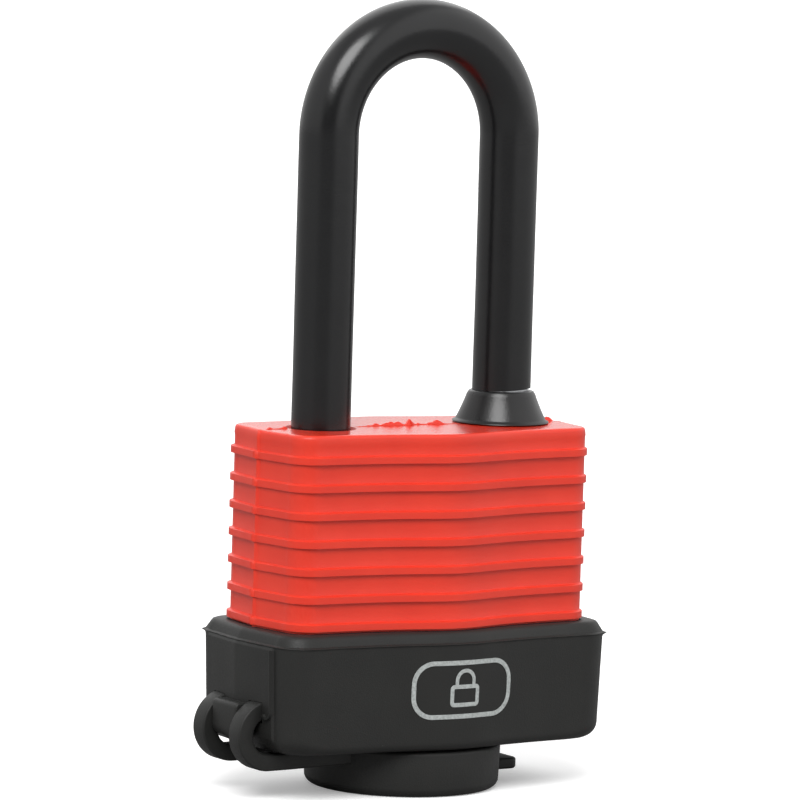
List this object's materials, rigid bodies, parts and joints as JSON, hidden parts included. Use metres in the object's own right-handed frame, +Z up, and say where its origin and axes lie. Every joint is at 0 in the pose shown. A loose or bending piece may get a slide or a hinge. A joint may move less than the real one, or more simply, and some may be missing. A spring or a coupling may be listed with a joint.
{
  "type": "padlock",
  "caption": "Keyed laminated padlock in a ribbed weather jacket, with a sleeved shackle, a toe-leg seal and a strap-hinged keyway cap on its base cover.",
  "frame": {"origin": "centre of the keyway cap's flat underside, which is the base the padlock stands on", "axes": "+Z up along the shackle legs, +Y from the front to the back, +X across the front from the heel leg to the toe leg"},
  "size_m": [0.0563, 0.0294, 0.1067],
  "materials": {
    "red_plastic": "moulded satin plastic",
    "black_plastic": "satin flexible plastic",
    "black_vinyl": "semi-gloss vinyl sleeve",
    "black_rubber": "smooth rubber",
    "bright_steel": "bright plated",
    "plate_steel": "blanked steel plate",
    "spring_steel": "bright steel",
    "brass": "machined brass"
  },
  "bodies": {
    "lock_body": {"weather_jacket": "red_plastic", "bottom_cover": "black_plastic", "cap_strap_front": "black_plastic", "cap_strap_rear": "black_plastic", "body_plate_01": "plate_steel", "body_plate_02": "plate_steel", "body_plate_03": "plate_steel", "body_plate_04": "plate_steel", "body_plate_05": "plate_steel", "body_plate_06": "plate_steel", "body_plate_07": "plate_steel", "body_plate_08": "plate_steel", "body_plate_09": "plate_steel", "body_plate_10": "plate_steel", "body_plate_11": "plate_steel", "body_plate_12": "plate_steel", "body_plate_13": "plate_steel", "body_plate_14": "plate_steel", "body_plate_15": "plate_steel", "rivet_1": "plate_steel", "rivet_2": "plate_steel", "rivet_3": "plate_steel", "rivet_4": "plate_steel", "shackle_retainer": "spring_steel", "cylinder_shell": "brass", "driver_pin_1": "brass", "driver_pin_2": "brass", "driver_pin_3": "brass", "driver_pin_4": "brass", "pin_spring_1": "spring_steel", "pin_spring_2": "spring_steel", "pin_spring_3": "spring_steel", "pin_spring_4": "spring_steel", "bolt_spring_toe": "spring_steel", "bolt_spring_heel": "spring_steel"},
    "shackle_group": {"shackle": "bright_steel", "shackle_sleeve": "black_vinyl", "toe_seal": "black_rubber"},
    "cap_group": {"keyway_cap": "black_plastic"},
    "plug_group": {"plug": "brass", "plug_clip": "spring_steel", "cam": "spring_steel", "key_pin_1": "brass", "key_pin_2": "brass", "key_pin_3": "brass", "key_pin_4": "brass"},
    "toe_bolt_group": {"bolt_toe": "bright_steel"},
    "heel_bolt_group": {"bolt_heel": "bright_steel"}
  },
  "joints": [
    {"name": "shackle_lift", "type": "slide", "parent": "lock_body", "child": "shackle_group", "axis": [0, 0, 1], "range_m": [0, 0.013]},
    {"name": "cap_swing", "type": "hinge", "parent": "lock_body", "child": "cap_group", "pos_m": [-0.0294, 0, 0.00865], "axis": [0, 1, 0], "range_deg": [0, 135]},
    {"name": "plug_turn", "type": "hinge", "parent": "lock_body", "child": "plug_group", "pos_m": [0, 0, 0.02], "axis": [0, 0, 1], "range_deg": [0, 90]},
    {"name": "toe_bolt_slide", "type": "slide", "parent": "lock_body", "child": "toe_bolt_group", "axis": [1, 0, 0], "range_m": [0, 0.00205], "deforming": ["bolt_spring_toe"]},
    {"name": "heel_bolt_slide", "type": "slide", "parent": "lock_body", "child": "heel_bolt_group", "axis": [-1, 0, 0], "range_m": [0, 0.00205], "deforming": ["bolt_spring_heel"]}
  ],
  "couplings": [
    {"joint": "toe_bolt_slide", "follows": "plug_turn", "m_per_rad": 0.0012732},
    {"joint": "heel_bolt_slide", "follows": "plug_turn", "m_per_rad": 0.0012732}
  ]
}
